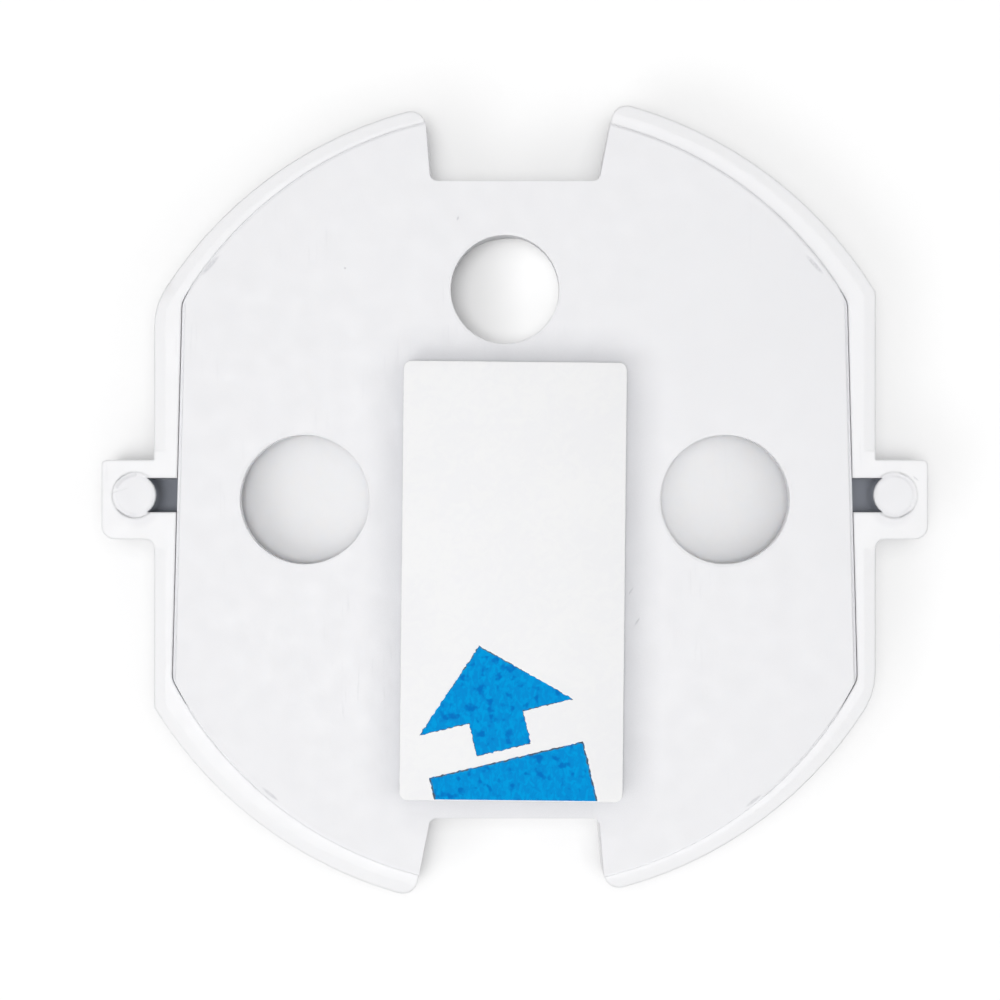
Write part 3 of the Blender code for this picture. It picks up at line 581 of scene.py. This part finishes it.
linerLook = {
    "topGap": 0.006, "roundFrom": 60.0, "edgeRadius": 0.02, "edgeSegments": 2,
    "tint": (0.99, 0.99, 0.995), "fibreTint": (0.965, 0.965, 0.98), "tintBand": (0.40, 0.60),
    # painted highlight along the sheet's rounded edges: its reach, band and tint
    "highlightReach": 0.22, "paleBand": (0.75, 1.0), "highlightTint": (1.0, 1.0, 1.0),
    "specular": 0.25, "roughness": (0.47, 0.65), "roughnessBand": (0.3, 0.7),
    "fibreScale": 1500.0, "fibreCurl": 1.2, "fibreShare": 0.5,
    "cloudScale": 420.0, "cloudHeight": 2.0, "depth": 0.006,
}


def makeLinerForm():
    form, _, place = stripForm("release_liner")
    bmesh.ops.translate(form, vec=(0.0, 0.0, -linerLook["topGap"] * mm),
                        verts=[v for v in form.verts if v.co.z > 0])
    edges = sharpEdges(form, linerLook["roundFrom"])
    roundEdges(form, edges, linerLook["edgeRadius"] * mm, linerLook["edgeSegments"])
    moveForm(form, place)
    return form


def makeLinerMaterial():
    look = linerLook
    material, tree, shader = newMaterial("linerPaper", {"Specular IOR Level": look["specular"]})
    place = objectPlace(tree)
    cloud = noiseNode(tree, place, look["cloudScale"], detail=4.0, roughness=0.6)
    fibre = noiseNode(tree, place, look["fibreScale"], detail=3.0, roughness=0.65,
                      distortion=look["fibreCurl"])
    blend = timesPlus(tree, fibre, look["fibreShare"], times(tree, cloud, 1.0 - look["fibreShare"]))
    factor = rangeNode(tree, blend, look["tintBand"], soft=True)
    paper = mixColor(tree, factor, opaque(look["fibreTint"]), opaque(look["tint"]))
    # painted highlight: the sheet's rounded edges are made lighter
    bent = addNode(tree, "ShaderNodeBevel", {"Radius": look["highlightReach"] * mm}, samples=softRays).outputs[0]
    level = addNode(tree, "ShaderNodeNewGeometry").outputs["Normal"]
    flat = vectorNode(tree, "DOT_PRODUCT", bent, level)["Value"]
    edge = rangeNode(tree, flat, look["paleBand"], 1.0, 0.0)
    color = mixColor(tree, edge, paper, opaque(look["highlightTint"]))
    rough = rangeNode(tree, fibre, look["roughnessBand"], *look["roughness"])
    height = timesPlus(tree, cloud, look["cloudHeight"], fibre)
    finishShader(tree, shader, color, rough, height, look["depth"])
    return material


liner = newPiece("liner_sheet", makeLinerForm(), makeLinerMaterial(), "housing")
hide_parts("release_liner")
print("release liner:", len(liner.data.polygons), "faces")


# Print on the liner: a plain block arrow over a bar that the sheet's lower edge cuts off

# the turn of the fibres is in radians
printLook = {
    "middle": (-0.70, -6.10), "turn": 14.0, "reach": 3.55, "rise": 3.3, "shaftHalf": 1.25,
    "shaft": 1.5, "gap": 0.45, "barHeight": 3.2, "thickness": 0.004, "underTop": 0.001,
    "sheetInset": 0.04, "cuts": 34, "merge": 0.001,
    "ragged": 0.045, "raggedScale": 6.5, "fineRatio": 3.1, "fineShare": 0.5,
    "tint": (0.0, 0.29, 0.73), "deep": (0.0, 0.19, 0.60), "pale": (0.0, 0.37, 0.82),
    "fibreScale": 4400.0, "fibreTurn": 0.9, "fibreStretch": (1.0, 0.6, 1.0), "fibreCurl": 0.8,
    "paleBand": (0.42, 0.62), "blotchScale": 2300.0, "deepBand": (0.54, 0.70),
    "rimTint": (0.09, 0.12, 0.15), "rimBand": (0.05, 0.55),
    "breakScale": 5000.0, "breakBand": (0.36, 0.56), "breakLeast": 0.25,
    "specular": 0.03, "roughness": (0.5, 0.7), "roughnessBand": (0.3, 0.7), "depth": 0.006,
}
cutWithin = 1e-8         # metres


def printHalf(side):
    # four-cornered fields that share whole edges, for the left (-1) or right (1) half
    look = printLook
    reach, rise, half, foot = look["reach"], look["rise"], look["shaftHalf"], -look["shaft"]
    shoulder = rise * (1.0 - half / reach)
    barTop = foot - look["gap"]
    barFoot = barTop - look["barHeight"]
    fields = [
        [(half, 0.0), (half, shoulder), (0.0, rise), (0.0, 0.0)],
        [(reach, 0.0), ((reach + half) / 2, shoulder / 2), (half, shoulder), (half, 0.0)],
        [(half, foot), (half, 0.0), (0.0, 0.0), (0.0, foot)],
        [(reach, barFoot), (reach, barTop), (0.0, barTop), (0.0, barFoot)],
    ]
    fields = [[(side * x, y) for x, y in field] for field in fields]
    return fields if side > 0 else [list(reversed(field)) for field in fields]


def clipToSheet(form, width, height):
    inset = printLook["sheetInset"] * mm
    sides = ((0, -1, height), (0, 1, height), (-1, 0, width), (1, 0, width))
    for x, y, size in sides:
        away = Vector((x, y, 0.0))
        bmesh.ops.bisect_plane(form, geom=form.verts[:] + form.edges[:] + form.faces[:], dist=cutWithin,
                               plane_co=away * (size / 2 - inset), plane_no=away, clear_outer=True)


def wobble(spot, elsewhere):
    # the second number is read at another spot, so that x and y don't move together
    return Vector((noise.noise(spot), noise.noise(spot + Vector((elsewhere, 0.0, 0.0))), 0.0))


def raggedEdge(vert):
    spot = vert.co / mm * printLook["raggedScale"]
    fine = spot * printLook["fineRatio"]
    push = wobble(spot, 40.0) + printLook["fineShare"] * wobble(fine, 9.0)
    vert.co += push * printLook["ragged"] * mm


def makePrintForm():
    look = printLook
    width, height, _, middle = unturnedSize("release_liner")
    form = bmesh.new()
    for field in printHalf(-1) + printHalf(1):
        form.faces.new([form.verts.new((x * mm, y * mm, 0.0)) for x, y in field])
    bmesh.ops.remove_doubles(form, verts=form.verts, dist=look["merge"] * mm)
    bmesh.ops.subdivide_edges(form, edges=form.edges[:], cuts=look["cuts"], use_grid_fill=True)
    rimLayer = form.verts.layers.float.new("rim")       # the ink's outline reads this
    for vert in form.verts:
        vert[rimLayer] = 1.0 if vert.is_boundary else 0.0
    moveForm(form, Matrix.Translation((look["middle"][0] * mm, look["middle"][1] * mm, 0.0))
             @ Matrix.Rotation(math.radians(look["turn"]), 4, "Z"))
    for vert in form.verts:
        raggedEdge(vert)
    clipToSheet(form, width, height)
    made = bmesh.ops.extrude_face_region(form, geom=form.faces[:])
    raised = [part for part in made["geom"] if isinstance(part, bmesh.types.BMVert)]
    bmesh.ops.translate(form, vec=(0.0, 0.0, look["thickness"] * mm), verts=raised)
    bmesh.ops.recalc_face_normals(form, faces=form.faces)
    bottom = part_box("release_liner")[1].z - (look["thickness"] + look["underTop"]) * mm
    moveForm(form, Matrix.Translation((middle.x, middle.y, bottom)) @ Matrix.Rotation(padTurn, 4, "Z"))
    return form


def makeInkMaterial():
    look = printLook
    material, tree, shader = newMaterial("blueInk", {"Specular IOR Level": look["specular"]})
    place = objectPlace(tree)
    turned = addNode(tree, "ShaderNodeMapping", {
        "Vector": place, "Rotation": (0.0, 0.0, look["fibreTurn"]), "Scale": look["fibreStretch"]}).outputs[0]
    fibre = noiseNode(tree, turned, look["fibreScale"], detail=4.0, roughness=0.6,
                      distortion=look["fibreCurl"])
    light = rangeNode(tree, fibre, look["paleBand"], soft=True)
    dark = rangeNode(tree, noiseNode(tree, place, look["blotchScale"]), look["deepBand"], soft=True)
    color = mixColor(tree, light, opaque(look["tint"]), opaque(look["pale"]))
    color = mixColor(tree, dark, color, opaque(look["deep"]))
    rim = addNode(tree, "ShaderNodeAttribute", attribute_name="rim", attribute_type="GEOMETRY")
    outline = rangeNode(tree, rim.outputs["Fac"], look["rimBand"])
    gaps = noiseNode(tree, place, look["breakScale"])
    broken = rangeNode(tree, gaps, look["breakBand"], look["breakLeast"], soft=True)
    color = mixColor(tree, times(tree, outline, broken), color, opaque(look["rimTint"]))
    rough = rangeNode(tree, fibre, look["roughnessBand"], *look["roughness"])
    finishShader(tree, shader, color, rough, fibre, look["depth"])
    return material


ink = newPiece("liner_print", makePrintForm(), makeInkMaterial(), "housing")
print("print:", len(ink.data.polygons), "faces")


# Floor, lamps and camera

stageLook = {
    "floorSize": 900.0, "floorDrop": 0.01, "floorTint": 0.72, "floorGlow": 0.38,
    # shades on the floor beside the cover: reach in mm, share of the glow, and where the cover stands
    "contacts": [(4.5, 0.55, (-0.68, 0.22, 0.70)), (1.2, 0.90, (-0.28, -0.05, 0.96))],
    # painted light on the ground under the earth hole: its middle, radius and soft edge, and where the sweep
    # runs beside it
    "well": (-0.50, 9.48, 2.9, 0.3), "wellSweep": (-1.9, 1.0), "wellGlow": 0.27,
    "zenith": 0.28, "horizon": 0.52,
    # each lamp: where it stands and its size in mm, and its power in watts
    "lamps": {
        "keyLamp": ((-360.0, -300.0, 560.0), 460.0, 1.02),
        "fillLamp": ((440.0, -100.0, 420.0), 460.0, 0.27),
        "topLamp": ((-30.0, -30.0, 900.0), 160.0, 2.95),
    },
    "viewWidth": 45.17, "lensDistance": 150.0, "centre": (-0.67, -0.02), "level": 4.95,
    "clip": (5.0, 10000.0),
}


def floorShades(tree):
    lit = stageLook["floorGlow"]
    for reach, share, side in stageLook["contacts"]:
        near = addNode(tree, "ShaderNodeAmbientOcclusion", {"Distance": reach * mm, "Normal": side},
                       samples=softRays)
        lit = times(tree, rangeNode(tree, near.outputs["AO"], (0.0, 1.0), 1.0 - share, 1.0), lit)
    return lit


def addPaintedWellLight(tree, lit):
    # painted light: the ground seen through the earth hole is made white at its right half, as in the photo
    x, y, reach, fade = [value * mm for value in stageLook["well"]]
    sweepFrom, sweepTo = [x + value * mm for value in stageLook["wellSweep"]]
    away = vectorNode(tree, "DISTANCE", objectPlace(tree), (x, y, 0.0))["Value"]
    within = rangeNode(tree, away, (reach, reach + fade), stageLook["wellGlow"], 0.0)
    sweep = rangeNode(tree, splitPlace(tree)[0], (sweepFrom, sweepTo))
    return timesPlus(tree, within, sweep, lit)


def seenMask(tree, kinds):
    # 1 for the rays that see a surface, and 0 for those that gather its light
    rays = addNode(tree, "ShaderNodeLightPath").outputs
    mask = 0.0
    for kind in kinds:
        mask = mathNode(tree, "MAXIMUM", mask, rays[kind])
    return mask


def makeFloorMaterial():
    material = bpy.data.materials.new("paleFloor")
    material.use_nodes = True
    tree = material.node_tree
    tree.nodes.clear()
    tint = stageLook["floorTint"]
    paint = addNode(tree, "ShaderNodeBsdfDiffuse", {"Color": (tint, tint, tint, 1.0)})
    seen = seenMask(tree, ("Is Camera Ray", "Is Glossy Ray", "Is Transmission Ray"))
    lit = addPaintedWellLight(tree, floorShades(tree))
    glow = addNode(tree, "ShaderNodeEmission", {"Strength": times(tree, seen, lit)})
    both = addNode(tree, "ShaderNodeAddShader")
    wire(tree, paint.outputs[0], both.inputs[0])
    wire(tree, glow.outputs[0], both.inputs[1])
    wire(tree, both.outputs[0], addNode(tree, "ShaderNodeOutputMaterial").inputs["Surface"])
    return material


def makeFloor():
    form = bmesh.new()
    bmesh.ops.create_grid(form, x_segments=1, y_segments=1, size=stageLook["floorSize"] * mm / 2)
    bmesh.ops.translate(form, vec=(0.0, 0.0, -stageLook["floorDrop"] * mm), verts=form.verts)
    mesh = meshFrom("floor", form)
    mesh.materials.append(makeFloorMaterial())
    floor = addObject("floor", mesh)


def makeWorld():
    world = bpy.data.worlds.new("studio")
    bpy.context.scene.world = world
    world.use_nodes = True
    tree = world.node_tree
    seen = seenMask(tree, ("Is Camera Ray", "Is Glossy Ray"))
    toward = addNode(tree, "ShaderNodeTexCoord").outputs["Generated"]
    up = addNode(tree, "ShaderNodeSeparateXYZ", {0: toward}).outputs[2]
    sky = rangeNode(tree, up, (0.0, 1.0), stageLook["horizon"], stageLook["zenith"])
    background = tree.nodes["Background"].inputs
    background["Color"].default_value = (1.0, 1.0, 1.0, 1.0)
    wire(tree, mathNode(tree, "MAXIMUM", sky, seen), background["Strength"])


def makeLamps():
    for name, (place, size, power) in stageLook["lamps"].items():
        light = bpy.data.lights.new(name, "AREA")
        light.shape = "SQUARE"
        light.size = size * mm
        light.energy = power
        lamp = addObject(name, light)
        lamp.location = Vector(place) * mm
        aim = Vector((0.0, 0.0, stageLook["level"] * mm)) - lamp.location
        lamp.rotation_euler = aim.to_track_quat("-Z", "Y").to_euler()


def makeCamera():
    data = bpy.data.cameras.new("camera")
    data.sensor_fit = "HORIZONTAL"
    data.lens = data.sensor_width * stageLook["lensDistance"] / stageLook["viewWidth"]
    data.clip_start, data.clip_end = [value * mm for value in stageLook["clip"]]
    camera = addObject("camera", data)
    x, y = stageLook["centre"]
    camera.location = (x * mm, y * mm, (stageLook["level"] + stageLook["lensDistance"]) * mm)
    bpy.context.scene.camera = camera


makeFloor()
makeWorld()
makeLamps()
makeCamera()
bpy.context.scene.view_settings.view_transform = "Standard"
print("stage ready")
